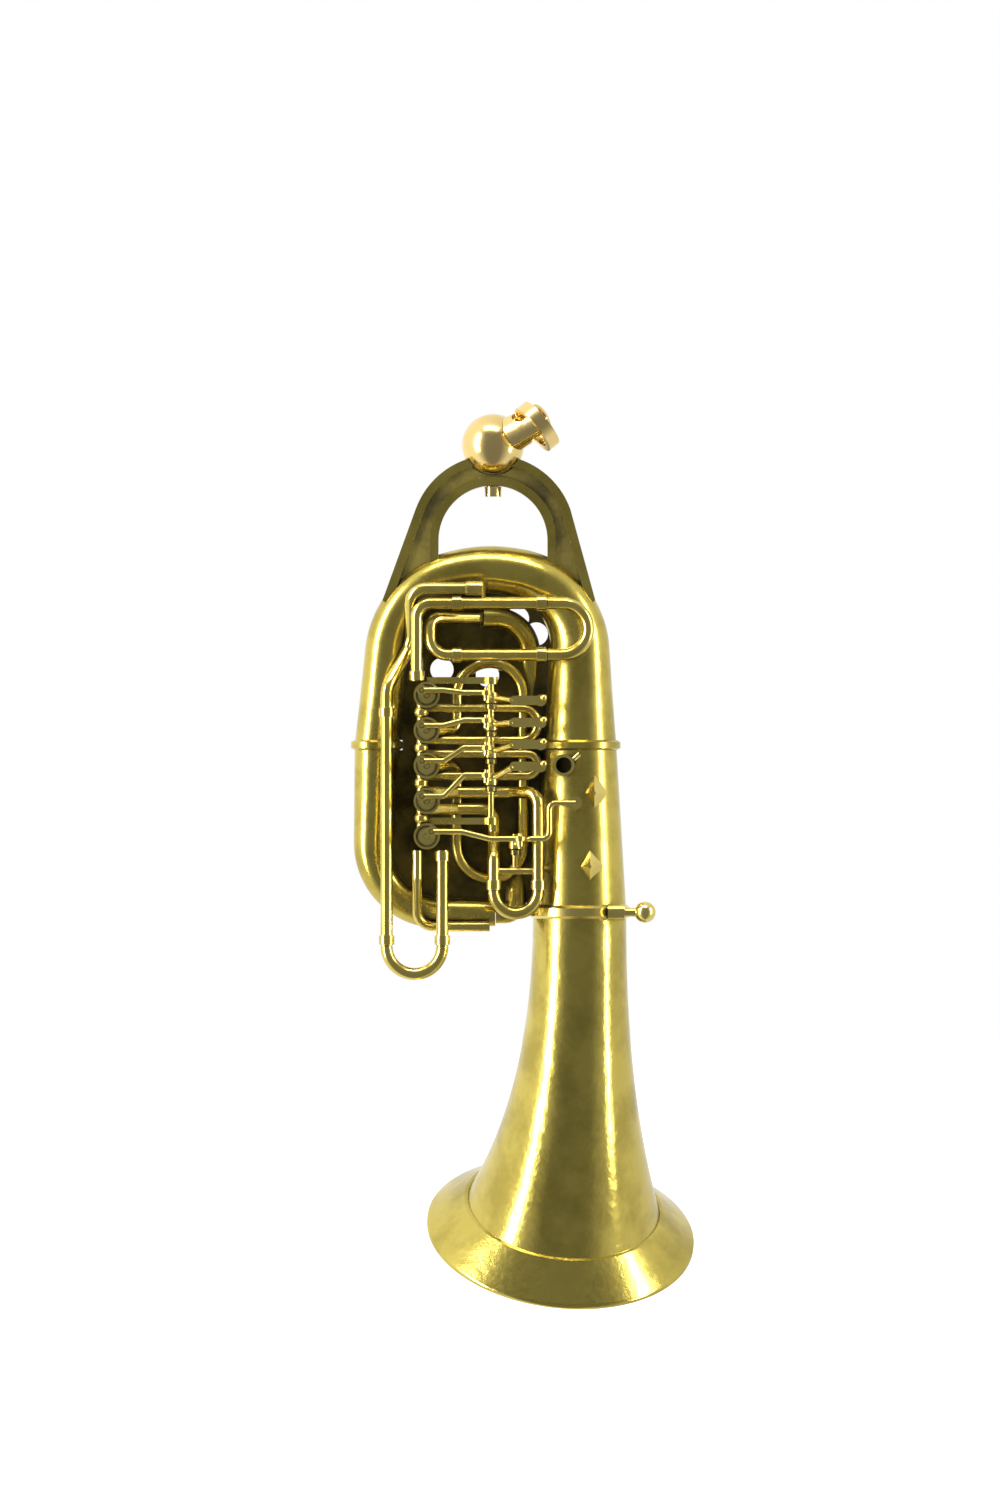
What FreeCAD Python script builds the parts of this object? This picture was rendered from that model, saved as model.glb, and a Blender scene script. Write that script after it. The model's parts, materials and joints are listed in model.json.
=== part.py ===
# A miniature rotary-valve horn for a key ring, hung by a ball swivel and a ring.
# Millimetres, +Z up, the player's side is -Y, and the origin is the hanging ring's centre.
import FreeCAD, Part
import math
import os

import Sketcher

os.makedirs("parts", exist_ok=True)
doc = FreeCAD.newDocument("miniature_horn")
sheet = doc.addObject("Spreadsheet::Sheet", "sizes")
Vector = FreeCAD.Vector
pieces = []


class Size:
    """A number in millimetres or degrees, together with the sheet formula that gives it."""

    def __init__(self, number, formula=None):
        self.number = float(number)
        self.formula = formula or f"({self.number:.6f})"

    def __add__(self, other):
        other = as_size(other)
        return Size(self.number + other.number, f"({self.formula} + {other.formula})")

    def __sub__(self, other):
        other = as_size(other)
        return Size(self.number - other.number, f"({self.formula} - {other.formula})")

    def __mul__(self, other):
        other = as_size(other)
        return Size(self.number * other.number, f"({self.formula} * {other.formula})")

    def __truediv__(self, other):
        other = as_size(other)
        return Size(self.number / other.number, f"({self.formula} / {other.formula})")

    def __neg__(self):
        return Size(-self.number, f"(0 - {self.formula})")

    def __radd__(self, other):
        return as_size(other) + self

    def __rsub__(self, other):
        return as_size(other) - self

    def __rmul__(self, other):
        return as_size(other) * self

    def __float__(self):
        return self.number


def as_size(value):
    return value if isinstance(value, Size) else Size(value)


def size(alias, number):
    """Writes one driving dimension in the sheet and returns it."""
    size.row += 1
    sheet.set(f"A{size.row}", alias)
    sheet.set(f"B{size.row}", str(number))
    sheet.setAlias(f"B{size.row}", alias)
    return Size(number, f"sizes.{alias}")


size.row = 0

# Swivel and ring
ring_inner = size("ring_inner_diameter", 3.6)
ring_wall = size("ring_wall", 0.6)
ring_width = size("ring_width", 1.1)
ring_swing = size("ring_swing_at_rest", 50)
ball_diameter = size("ball_diameter", 5.6)
cup_azimuth = size("cup_azimuth", 30)
cup_elevation = size("cup_elevation", 25)
cup_roll = size("cup_roll", 31)
cup_base = size("cup_base_diameter", 3.3)
cup_mouth = size("cup_mouth_diameter", 2.8)
cup_reach = size("cup_eye_reach", 4.2)
cup_lip = size("cup_lip", 1.35)
cup_bore = size("cup_bore_diameter", 2.1)
cup_window = size("cup_window_diameter", 2.0)
cup_seat = size("cup_seat_reach", 2.35)
cup_pivot = size("cup_pivot_diameter", 1.2)
cup_pivot_length = size("cup_pivot_length", 1.4)
stem_diameter = size("stem_diameter", 1.1)
stem_collar = size("stem_collar_diameter", 1.5)
stem_collar_height = size("stem_collar_height", 0.9)
running_gap = size("running_gap", 0.06)
seat_gap = size("seat_gap", 0.02)
# Hanger arch
crown_top = size("crown_top_below_ball", 0.9)
crown_radius = size("crown_radius", 7.4)
arch_lean = size("arch_lean", 20)
arch_depth = size("arch_depth", 2.4)
arch_rim = size("arch_rim", 0.8)
arch_recess = size("arch_recess", 0.35)
window_top = size("window_top_below_ball", 3.65)
window_radius = size("window_radius", 4.9)
# Main conical branch
oval_top = size("oval_top_below_ball", 11.0)
oval_rise = size("oval_crown_rise", 1.6)
right_limb = size("right_limb_x", 7.8)
left_limb = size("left_limb_x", 10.45)
left_shoulder = size("left_shoulder_x", 9.0)
left_foot = size("left_foot_x", 11.1)
seam_drop = size("limb_seam_below_ball", 27.0)
bell_joint_drop = size("bell_joint_below_ball", 42.0)
bottom_drop = size("bottom_bow_below_ball", 42.1)
bottom_end = size("bottom_bow_end_x", 0.2)
right_bend = size("top_bow_right_bend", 7.0)
left_bend = size("top_bow_left_bend", 8.0)
crown_bend = size("top_bow_crown_bend", 12.0)
lower_bend = size("bottom_bow_bend", 6.1)
bell_joint_diameter = size("bell_joint_diameter", 8.4)
right_seam_diameter = size("right_seam_diameter", 6.6)
crown_tube_diameter = size("top_bow_middle_diameter", 4.4)
left_seam_diameter = size("left_seam_diameter", 4.0)
bottom_end_diameter = size("bottom_bow_end_diameter", 2.4)
branch_wall = size("branch_wall", 0.35)
# Bell
bell_length = size("bell_length_to_garland", 28.0)
bell_sweep = size("bell_sweep_angle", 31)
bell_drift = size("bell_drift", 1.4)
bell_seam_diameter = size("garland_seam_diameter", 17.4)
bell_flare_power = size("bell_flare_power", 2.2)
bell_wall = size("bell_wall", 0.35)
rim_diameter = size("bell_rim_diameter", 23.6)
garland_height = size("garland_height", 2.7)
garland_wall = size("garland_wall", 0.3)
rim_wire = size("rim_wire_diameter", 0.7)
ferrule_wall = size("ferrule_wall", 0.3)
bell_ferrule_length = size("bell_ferrule_length", 1.2)
seam_ferrule_length = size("seam_ferrule_length", 0.9)
# Valves
valve_x = size("valve_column_left", 5.94)
first_valve = size("first_valve_below_ball", 22.5)
valve_pitch = size("valve_pitch", 3.17)
valve_count = size("valve_count", 5)
front_plane = size("front_plane", 3.7)
casing_diameter = size("casing_diameter", 2.36)
casing_length = size("casing_length", 2.4)
casing_wall = size("casing_wall", 0.2)
spindle_diameter = size("spindle_diameter", 0.6)
cap_thickness = size("cap_thickness", 0.3)
stop_disc = size("stop_disc_diameter", 1.5)
stop_radius = size("stop_pin_radius", 0.6)
stop_thickness = size("stop_arm_thickness", 0.35)
pin_diameter = size("pin_diameter", 0.36)
# Levers
hinge_left = size("hinge_left", 0.18)
hinge_diameter = size("hinge_rod_diameter", 0.6)
hub_diameter = size("hub_diameter", 1.2)
hub_length = size("hub_length", 0.9)
first_hub = size("first_hub_below_ball", 22.3)
hub_pitch = size("hub_pitch", 2.46)
thumb_hub = size("thumb_hub_below_ball", 35.4)
lever_travel = size("lever_travel", 20)
rod_diameter = size("rod_diameter", 0.55)
link_plane = size("link_plane", 5.65)
eye_diameter = size("link_eye_diameter", 0.95)
first_paddle = size("first_paddle_below_ball", 23.0)
paddle_pitch = size("paddle_pitch", 1.97)
paddle_length = size("paddle_length", 2.9)
paddle_width = size("paddle_width", 1.05)
paddle_thickness = size("paddle_thickness", 0.4)
paddle_plane = size("paddle_plane", 4.9)
# Small tubing
tube_diameter = size("tube_diameter", 1.1)
tube_wall = size("tube_wall", 0.15)
slide_gap = size("slide_gap", 0.03)
sleeve_diameter = size("sleeve_diameter", 1.4)
sleeve_length = size("sleeve_length", 0.8)
doc.recompute()


def checked(thing, label, place):
    """Names a finished piece and puts it in the horn's place."""
    thing.Label = label
    thing.Placement = place
    pieces.append(thing)
    return thing


def bind(thing, **sizes):
    """Ties an object's properties to the sheet."""
    for name, value in sizes.items():
        thing.setExpression(name, as_size(value).formula)


def turned(direction):
    return FreeCAD.Rotation(Vector(0, 0, 1), direction)


def cylinder(radius, height, base, direction=Vector(0, 0, 1)):
    thing = doc.addObject("Part::Cylinder", "rod")
    bind(thing, Radius=radius, Height=height)
    thing.Placement = FreeCAD.Placement(base, turned(direction))
    return thing


def cone(radius_1, radius_2, height, base, direction=Vector(0, 0, 1)):
    thing = doc.addObject("Part::Cone", "taper")
    bind(thing, Radius1=radius_1, Radius2=radius_2, Height=height)
    thing.Placement = FreeCAD.Placement(base, turned(direction))
    return thing


def sphere(radius, centre):
    thing = doc.addObject("Part::Sphere", "ball")
    bind(thing, Radius=radius)
    thing.Placement = FreeCAD.Placement(centre, FreeCAD.Rotation())
    return thing


def torus(big, small, centre, direction=Vector(0, 0, 1)):
    thing = doc.addObject("Part::Torus", "torus")
    bind(thing, Radius1=big, Radius2=small)
    thing.Placement = FreeCAD.Placement(centre, turned(direction))
    return thing


def box(length, width, height, corner):
    thing = doc.addObject("Part::Box", "block")
    bind(thing, Length=length, Width=width, Height=height)
    thing.Placement = FreeCAD.Placement(corner, FreeCAD.Rotation())
    return thing


def fused(*things):
    thing = doc.addObject("Part::MultiFuse", "joined")
    thing.Shapes = list(things)
    return thing


def cut(base, tool):
    thing = doc.addObject("Part::Cut", "cut")
    thing.Base = base
    thing.Tool = tool
    return thing


def group(*things):
    thing = doc.addObject("Part::Compound", "group")
    thing.Links = list(things)
    return thing


def route(points, bends):
    """Straight runs between the points, joined by tangent arcs of the given bend radii."""
    edges = []
    here = points[0]
    for before, corner, after, bend in zip(points, points[1:], points[2:], bends):
        back = (before - corner).normalize()
        onward = (after - corner).normalize()
        half = back.getAngle(onward) / 2
        reach = float(bend) / math.tan(half)
        start = corner + back * reach
        end = corner + onward * reach
        middle = corner + (back + onward).normalize() * (float(bend) / math.sin(half) - float(bend))
        if start.distanceToPoint(here) > 1e-4:
            edges.append(Part.LineSegment(here, start).toShape())
        edges.append(Part.Arc(start, middle, end).toShape())
        here = end
    if here.distanceToPoint(points[-1]) > 1e-4:
        edges.append(Part.LineSegment(here, points[-1]).toShape())
    path = doc.addObject("Part::Feature", "route")
    path.Shape = Part.Wire(edges)
    return path


def swept(path, *diameters):
    """A round bar along a route, its diameter going evenly from the first to the last."""
    edges = path.Shape.OrderedEdges
    bar = doc.addObject("Part::Sweep", "bar")
    sections = []
    for index, diameter in enumerate(diameters):
        along = index / max(len(diameters) - 1, 1)
        edge = edges[min(int(along * len(edges)), len(edges) - 1)]
        at_end = along == 1 and index > 0
        parameter = edge.LastParameter if at_end else edge.FirstParameter
        ring = doc.addObject("Part::Circle", "section")
        bind(ring, Radius=diameter / 2)
        ring.Placement = FreeCAD.Placement(edge.valueAt(parameter), turned(edge.tangentAt(parameter)))
        sections.append(ring)
    bar.Sections = sections
    bar.Spine = (path, [f"Edge{number + 1}" for number in range(len(edges))])
    bar.Solid = True
    bar.Frenet = False
    return bar


def pipe(points, bends, *diameters, wall=tube_wall):
    """A hollow tube along a route."""
    path = route(points, bends)
    outside = swept(path, *diameters)
    inside = swept(path, *[diameter - wall * 2 for diameter in diameters])
    return cut(outside, inside)


def revolved(label, outline, place):
    """A turned piece: its closed outline (radius, height) goes round its own Z axis."""
    body = doc.addObject("PartDesign::Body", label)
    sketch = body.newObject("Sketcher::SketchObject", f"{label}_outline")
    plane = next(item for item in body.Origin.OriginFeatures if item.Role == "XZ_Plane")
    sketch.AttachmentSupport = (plane, [""])
    sketch.MapMode = "FlatFace"
    draw(sketch, outline)
    turn = body.newObject("PartDesign::Revolution", f"{label}_turned")
    turn.Profile = sketch
    turn.ReferenceAxis = (sketch, ["V_Axis"])
    turn.Angle = 360
    return checked(body, label, place)


def draw(sketch, outline):
    """Draws a closed outline whose corners are tied to the sheet."""
    corners = [(as_size(u), as_size(v)) for u, v in outline]
    for (u, v), (next_u, next_v) in zip(corners, corners[1:] + corners[:1]):
        start = Vector(u.number, v.number, 0)
        sketch.addGeometry(Part.LineSegment(start, Vector(next_u.number, next_v.number, 0)), False)
    for line, (u, v) in enumerate(corners):
        follower = (line + 1) % len(corners)
        sketch.addConstraint(Sketcher.Constraint("Coincident", line, 2, follower, 1))
        for kind, value in (("DistanceX", u), ("DistanceY", v)):
            if abs(value.number) < 1e-9:
                axis = -2 if kind == "DistanceX" else -1
                sketch.addConstraint(Sketcher.Constraint("PointOnObject", line, 1, axis))
            else:
                which = sketch.addConstraint(Sketcher.Constraint(kind, -1, 1, line, 1, value.number))
                sketch.setExpression(f"Constraints[{which}]", value.formula)


def at(x, y, z):
    return Vector(float(x), float(y), float(z))


# The ring's centre is the origin, so the ball's centre follows from the eye cup's lean.
azimuth = math.radians(float(cup_azimuth))
elevation = math.radians(float(cup_elevation))
cup_axis = Vector(
    math.cos(elevation) * math.cos(azimuth), -math.cos(elevation) * math.sin(azimuth), math.sin(elevation)
)
level = Vector(math.sin(azimuth), math.cos(azimuth), 0)
roll = FreeCAD.Rotation(cup_axis, float(cup_roll))
ring_pivot_axis = roll.multVec(level.cross(cup_axis).normalize())
ring_reach = FreeCAD.Rotation(ring_pivot_axis, float(ring_swing)).multVec(cup_axis)
if ring_reach.y > cup_axis.y:
    ring_reach = FreeCAD.Rotation(ring_pivot_axis, -float(ring_swing)).multVec(cup_axis)
ring_middle = (ring_inner + ring_wall) / 2
ring_eye = ring_reach * -ring_middle.number
ball_centre = ring_eye - cup_axis * cup_reach.number
horn = FreeCAD.Placement(ball_centre, FreeCAD.Rotation())


def standing(x, y, z, direction=Vector(0, 0, 1)):
    """A place in the horn: distances from the ball's centre, and the piece's own axis."""
    return horn * FreeCAD.Placement(at(x, y, z), turned(direction))


# Main branch: three lengths of conical tube from the bell joint round to the bottom bow
branch_bell_end = at(right_limb, 0, -bell_joint_drop)
right_seam = at(right_limb, 0, -seam_drop)
left_seam = at(-left_limb, 0, -seam_drop)
top_points = [
    right_seam,
    at(right_limb, 0, -oval_top - oval_rise),
    at((right_limb - left_shoulder) / 2, 0, -oval_top),
    at(-left_shoulder, 0, -oval_top - oval_rise),
    left_seam,
]
top_route = route(top_points, [right_bend, crown_bend, left_bend])
crown_solid = swept(top_route, right_seam_diameter, crown_tube_diameter, left_seam_diameter)
crown_bore = swept(
    top_route,
    right_seam_diameter - branch_wall * 2,
    crown_tube_diameter - branch_wall * 2,
    left_seam_diameter - branch_wall * 2,
)
checked(cut(crown_solid, crown_bore), "top_bow", horn)
bottom_points = [
    left_seam,
    at(-left_foot, 0, -bottom_drop),
    at(bottom_end, 0, -bottom_drop),
]
bottom_bow = pipe(bottom_points, [lower_bend], left_seam_diameter, bottom_end_diameter, wall=branch_wall)
checked(bottom_bow, "bottom_bow", horn)
branch_length = bell_joint_drop - seam_drop
joint_radius = bell_joint_diameter / 2
seam_radius = right_seam_diameter / 2
revolved(
    "bell_branch",
    [
        (joint_radius - branch_wall, 0),
        (joint_radius, 0),
        (seam_radius, branch_length),
        (seam_radius - branch_wall, branch_length),
    ],
    standing(right_limb, 0, -bell_joint_drop),
)


def ring_band(label, inner_radius, wall, length, place):
    """A plain ferrule ring."""
    half = length / 2
    return revolved(
        label,
        [
            (inner_radius, -half),
            (inner_radius + wall, -half * 0.6),
            (inner_radius + wall, half * 0.6),
            (inner_radius, half),
        ],
        place,
    )


seam_fit = seat_gap + (joint_radius - seam_radius) * seam_ferrule_length / branch_length
ring_band(
    "right_limb_ferrule",
    seam_radius + seam_fit,
    ferrule_wall,
    seam_ferrule_length,
    standing(right_limb, 0, -seam_drop),
)
ring_band(
    "left_limb_ferrule",
    left_seam_diameter / 2 + seat_gap * 2,
    ferrule_wall,
    seam_ferrule_length,
    standing(-left_limb, 0, -seam_drop),
)

# Bell: round sections along an axis that starts level with the branch and sweeps back
bell_top = at(right_limb, 0, -bell_joint_drop)
sweep_end = math.radians(float(bell_sweep))
bell_bend = float(bell_length) / sweep_end


def bell_place(along):
    """Centre and direction of the bell's axis at a distance along it."""
    angle = along / bell_bend
    share = along / float(bell_length)
    drift = -float(bell_drift)
    offset = Vector(drift * share**2, bell_bend * (1 - math.cos(angle)), -bell_bend * math.sin(angle))
    heading = Vector(2 * drift * share / float(bell_length), math.sin(angle), -math.cos(angle))
    return bell_top + offset, heading.normalize()


def bell_radius(share):
    spread = (float(bell_seam_diameter) - float(bell_joint_diameter)) / 2
    return float(bell_joint_diameter) / 2 + spread * share ** float(bell_flare_power)


def bell_horn(inset):
    """The flare as a solid, its skin set in by a wall's thickness."""
    sections = []
    steps = 8
    for step in range(steps + 1):
        share = step / steps
        centre, heading = bell_place(share * float(bell_length))
        sections.append(Part.Wire(Part.makeCircle(bell_radius(share) - inset, centre, heading)))
    return Part.makeLoft(sections, True)


bell_end, bell_heading = bell_place(float(bell_length))
flare_skin = bell_horn(0).fuse(
    Part.makeCone(
        float(bell_seam_diameter) / 2, float(rim_diameter) / 2, float(garland_height), bell_end, bell_heading
    )
)
flare_hollow = bell_horn(float(bell_wall)).fuse(
    Part.makeCone(
        float(bell_seam_diameter) / 2 - float(bell_wall),
        float(rim_diameter) / 2 - float(bell_wall),
        float(garland_height),
        bell_end,
        bell_heading,
    )
)
bell_flare = doc.addObject("Part::Feature", "flare")
bell_flare.Shape = flare_skin.cut(flare_hollow)
checked(bell_flare, "bell_flare", horn)
garland_place = horn * FreeCAD.Placement(bell_end, turned(bell_heading))
garland_inner = bell_seam_diameter / 2 + seat_gap * 2
rim_inner = rim_diameter / 2 + seat_gap * 2
revolved(
    "bell_garland",
    [
        (garland_inner, 0),
        (garland_inner + garland_wall, 0.05),
        (rim_inner + garland_wall, garland_height),
        (rim_inner, garland_height),
    ],
    garland_place,
)
wire_place = garland_place * FreeCAD.Placement(at(0, 0, garland_height + rim_wire / 2), FreeCAD.Rotation())
checked(torus(rim_diameter / 2, rim_wire / 2, at(0, 0, 0)), "bell_rim_wire", wire_place)

# Bell joint: a ferrule with a lug that the clamp screw pinches
lug_x = size("clamp_lug_x", 10.3)
lug_y = size("clamp_lug_forward", 3.95)
lug_length = size("clamp_lug_length", 1.5)
lug_diameter = size("clamp_lug_diameter", 1.5)
screw_diameter = size("clamp_screw_diameter", 0.8)
screw_ball = size("clamp_screw_ball_diameter", 1.9)
screw_neck = size("clamp_screw_neck", 0.9)
band = ring_band(
    "ferrule_band",
    joint_radius + seat_gap * 3,
    ferrule_wall,
    bell_ferrule_length,
    FreeCAD.Placement(at(right_limb, 0, -bell_joint_drop), FreeCAD.Rotation()),
)
pieces.remove(band)
lug_start = at(lug_x, -lug_y, -bell_joint_drop)
across = Vector(1, 0, 0)
lug = cut(
    cylinder(lug_diameter / 2, lug_length, lug_start, across),
    cylinder(joint_radius + seat_gap * 3, 4, at(right_limb, 0, -bell_joint_drop - 2)),
)
screw_hole = cylinder(screw_diameter / 2 + running_gap, lug_length * 2, lug_start, across)
checked(cut(fused(band, lug), screw_hole), "bell_ferrule", horn)
screw_end = lug_start + across * float(lug_length + screw_neck)
clamp_screw = fused(
    cylinder(screw_diameter / 2, lug_length + screw_neck, lug_start + across * 0.3, across),
    sphere(screw_ball / 2, screw_end + across * float(screw_ball / 2)),
)
checked(clamp_screw, "clamp_screw", horn)

# Hanger arch: a plate with raised rims, its feet shaped to the top bow


def arch_slab(inset, depth, forward):
    """The arch's outline set in by a rim, as thick as asked."""
    slope = math.radians(float(arch_lean))
    radius = float(crown_radius) - inset
    crown_z = -float(crown_top) - float(crown_radius)
    foot_z = -float(oval_top) - 3
    side_x = radius * math.cos(slope)
    side_z = crown_z + radius * math.sin(slope)
    foot_x = side_x + (side_z - foot_z) * math.tan(slope)
    inner_z = -float(oval_top) - float(oval_rise)
    right = [(side_x, side_z), (foot_x, foot_z), (foot_x - 2.5, foot_z - 0.5), (foot_x - 5, inner_z)]
    left = [(-u, v) for u, v in reversed(right)]
    corners = [Vector(u, forward, v) for u, v in right + left]
    edges = [Part.LineSegment(a, b).toShape() for a, b in zip(corners, corners[1:])]
    edges.append(Part.Arc(corners[-1], Vector(0, forward, crown_z + radius), corners[0]).toShape())
    return Part.Face(Part.Wire(edges)).extrude(Vector(0, depth, 0))


def arch_window(growth, depth, forward):
    radius = float(window_radius) + growth
    middle = Vector(0, forward, -float(window_top) - float(window_radius))
    opening = Part.makeCylinder(radius, depth, middle, Vector(0, 1, 0))
    tall = float(oval_top)
    return opening.fuse(Part.makeBox(radius * 2, depth, tall, middle + Vector(-radius, 0, -tall)))


arch_half = float(arch_depth) / 2
arch_plate = arch_slab(0, float(arch_depth), -arch_half).cut(arch_window(0, float(arch_depth), -arch_half))
for face in (-arch_half, arch_half - float(arch_recess)):
    recess = arch_slab(float(arch_rim), float(arch_recess), face)
    recess = recess.cut(arch_window(float(arch_rim), float(arch_recess), face))
    arch_plate = arch_plate.cut(recess)
arch = doc.addObject("Part::Feature", "arch_plate")
arch.Shape = arch_plate
arch_seat = swept(
    top_route,
    right_seam_diameter + seat_gap * 2,
    crown_tube_diameter + seat_gap * 2,
    left_seam_diameter + seat_gap * 2,
)
ball_seat = sphere(ball_diameter / 2 + running_gap, at(0, 0, 0))
stem_length = window_top + stem_collar_height + 0.1
stem_hole = cylinder(stem_diameter / 2 + running_gap, stem_length, at(0, 0, -stem_length))
hanger_arch = cut(arch, fused(arch_seat, ball_seat, stem_hole))
checked(hanger_arch, "hanger_arch", horn)

# Ball swivel: ball and stem turn in the crown, and a slotted collar holds the stem's end
facet = cylinder(ball_diameter, ball_diameter, cup_axis * cup_seat.number, cup_axis)
cup_start = cup_seat + running_gap
pivot_end = cup_start - cup_pivot_length
pivot_hole = cylinder(
    cup_pivot / 2 + running_gap, ball_diameter, cup_axis * (pivot_end.number - running_gap.number), cup_axis
)
ball = fused(
    sphere(ball_diameter / 2, at(0, 0, 0)), cylinder(stem_diameter / 2, stem_length, at(0, 0, -stem_length))
)
checked(cut(ball, fused(facet, pivot_hole)), "swivel_ball", horn)
collar = cut(
    cylinder(stem_collar / 2, stem_collar_height, at(0, 0, -stem_length)),
    cylinder(stem_diameter / 2 + seat_gap / 2, stem_collar_height + 2, at(0, 0, -stem_length - 1)),
)
checked(collar, "stem_collar", horn)
cup_place = horn * FreeCAD.Placement(Vector(), turned(cup_axis))
cup_end = cup_reach + cup_lip
cup_blank = revolved(
    "cup_blank",
    [
        (0, pivot_end),
        (cup_pivot / 2, pivot_end),
        (cup_pivot / 2, cup_start),
        (cup_base / 2, cup_start),
        (cup_mouth / 2, cup_end),
        (cup_bore / 2, cup_end),
        (cup_bore / 2, cup_start + 0.6),
        (0, cup_start + 0.6),
    ],
    FreeCAD.Placement(Vector(), turned(cup_axis)),
)
pieces.remove(cup_blank)
window_middle = cup_axis * cup_reach.number + ring_reach * 0.2
cup_side = cylinder(cup_window / 2, cup_base * 2, window_middle - ring_pivot_axis * cup_base.number, ring_pivot_axis)
checked(cut(cup_blank, cup_side), "eye_cup", horn)
ring_axis = ring_pivot_axis.cross(ring_reach).normalize()
ring_inner_radius = ring_inner / 2
revolved(
    "hang_ring",
    [
        (ring_inner_radius, -ring_width / 2),
        (ring_inner_radius + ring_wall, -ring_width / 2),
        (ring_inner_radius + ring_wall, ring_width / 2),
        (ring_inner_radius, ring_width / 2),
    ],
    FreeCAD.Placement(Vector(), turned(ring_axis)),
)

# Front plumbing: leadpipe, the long slide, the racetrack slide and the fourth valve's slide
front = -front_plane
bore_wall = tube_wall
slide_wall = size("slide_wall", 0.1)
slide_leg = tube_diameter - tube_wall * 2 - slide_gap * 2
lead_x = size("lead_tube_left", 6.84)
receiver_x = size("receiver_left", 1.0)
receiver_length = size("receiver_length", 1.6)
receiver_diameter = size("receiver_diameter", 1.35)
lead_drop = size("leadpipe_below_ball", 12.95)
race_top = size("racetrack_top_below_ball", 14.25)
race_bottom = size("racetrack_bottom_below_ball", 18.9)
race_joint_left = size("racetrack_left_joint", 3.24)
race_joint_right = size("racetrack_right_joint", 4.86)
race_end = size("racetrack_bow_end", 8.55)
race_height = race_bottom - race_top
race_bow_radius = race_height / 2
long_left = size("long_slide_left", 9.54)
long_right = size("long_slide_right", 4.55)
long_joint = size("long_slide_joint_below_ball", 45.0)
slide_engaged = size("slide_engagement", 6.0)
race_engaged = size("racetrack_engagement", 5.0)
short_left = size("short_slide_left_x", 0.05)
short_right = size("short_slide_right_x", 4.05)
short_joint = size("short_slide_joint_below_ball", 40.05)
short_engaged = size("short_slide_engagement", 2.4)
valve_low = first_valve + valve_pitch * (valve_count - 1)
casing_radius = casing_diameter / 2
valve_column_top = first_valve - casing_radius - 0.1


forward = Vector(0, -1, 0)
casing_half = casing_length / 2
blanks = []
for number in range(int(valve_count.number)):
    back = at(-valve_x, -front_plane + casing_half + cap_thickness, -first_valve - valve_pitch * number)
    blanks.append(cylinder(casing_radius, casing_length + cap_thickness, back, forward))
casings = group(*blanks)
ferrules = []


def sleeves(places, direction):
    """Ferrule rings round tubes, one at each place along the direction."""
    for place in places:
        start = place - direction * (float(sleeve_length) / 2)
        outside = cylinder(sleeve_diameter / 2, sleeve_length, start, direction)
        inside = cylinder(tube_diameter / 2 + seat_gap / 2, sleeve_length * 3, start - direction, direction)
        ferrules.append(cut(outside, inside))


up = Vector(0, 0, 1)
leadpipe = pipe(
    [
        at(-receiver_x - receiver_length, front, -lead_drop),
        at(-lead_x - 0.5, front, -lead_drop),
        at(-lead_x - 0.5, front + 2.5, -race_bottom + 1),
        at(-long_left, front, -race_bottom - 3),
        at(-long_left, front, -race_bottom - 5),
    ],
    [1.3, 1.6, 2.0],
    tube_diameter,
)
checked(leadpipe, "leadpipe", horn)
receiver_place = standing(-receiver_x - receiver_length, front, -lead_drop, across)
tube_radius = tube_diameter / 2
revolved(
    "mouthpiece_receiver",
    [
        (tube_radius - bore_wall, 0.05),
        (tube_radius, 0.05),
        (tube_radius + 0.05, 0.05),
        (receiver_diameter / 2, 0.3),
        (receiver_diameter / 2, receiver_length),
        (tube_radius, receiver_length),
    ],
    receiver_place,
)
long_top = race_bottom + 5.05
long_tube = pipe(
    [at(-long_left, front, -long_top), at(-long_left, front, -long_joint)], [], tube_diameter
)
checked(long_tube, "long_slide_tube", horn)
valve_floor = valve_low + casing_radius + 0.1
return_tube = pipe(
    [at(-long_right, front, -valve_floor), at(-long_right, front, -long_joint)], [], tube_diameter
)
checked(return_tube, "long_slide_return", horn)


def slide_bow(label, left_x, right_x, joint, engaged):
    """A sliding crook: two inner legs and a bow as thick as the outer tubes."""
    bow_drop = joint + 0.05
    span = right_x - left_x
    reach = bow_drop + span / 2
    bow = pipe(
        [
            at(left_x, front, -bow_drop),
            at(left_x, front, -reach),
            at(right_x, front, -reach),
            at(right_x, front, -bow_drop),
        ],
        [span / 2 - 0.01, span / 2 - 0.01],
        tube_diameter,
        wall=(tube_diameter - slide_leg) / 2 + slide_wall,
    )
    legs = []
    for x in (left_x, right_x):
        outside = cylinder(slide_leg / 2, engaged + 0.3, at(x, front, -bow_drop - 0.2))
        inside = cylinder(slide_leg / 2 - slide_wall, engaged + 1, at(x, front, -bow_drop - 0.3))
        legs.append(cut(outside, inside))
    return checked(fused(bow, *legs), label, horn)


slide_bow("long_slide_bow", -long_left, -long_right, long_joint, slide_engaged)
sleeves(
    [
        at(-long_left, front, -long_joint + 0.5),
        at(-long_right, front, -long_joint + 0.5),
        at(-long_right, front, -valve_floor - 0.5),
    ],
    up,
)
sleeves(
    [at(-lead_x, front, -valve_column_top + 0.45), at(-long_left, front, -long_top - 0.1)],
    up,
)

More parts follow.
